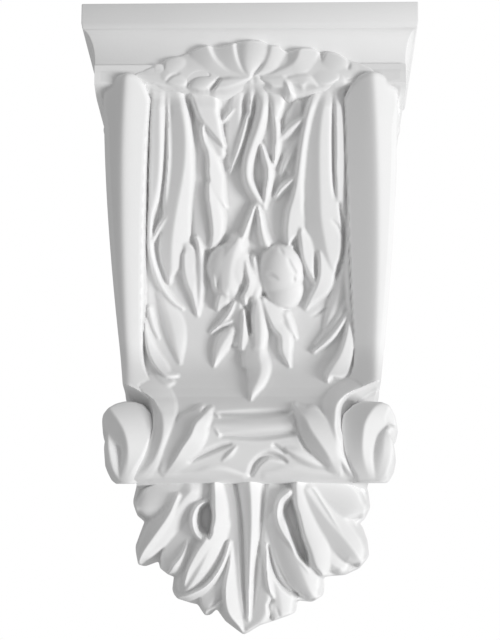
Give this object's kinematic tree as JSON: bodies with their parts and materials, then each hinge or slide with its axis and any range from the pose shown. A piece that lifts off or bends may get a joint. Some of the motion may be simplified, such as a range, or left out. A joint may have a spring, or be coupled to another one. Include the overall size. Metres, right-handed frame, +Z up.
{
  "type": "corbel",
  "caption": "Cast plaster corbel: a moulded slab on a scrolled bracket, with acanthus leaves and hanging buds on its front, a leaf drop below and a flat back for a wall.",
  "frame": {"origin": "centre of the flat back, half way up, on the wall plane", "axes": "X across the front, +X to the right as seen from in front; -Y the carved front; +Y into the wall; +Z up"},
  "size_m": [0.17, 0.13, 0.3078],
  "materials": {
    "plaster": "matt cast gypsum plaster, primed white"
  },
  "bodies": {
    "root": {"corbel": "plaster"}
  },
  "joints": []
}
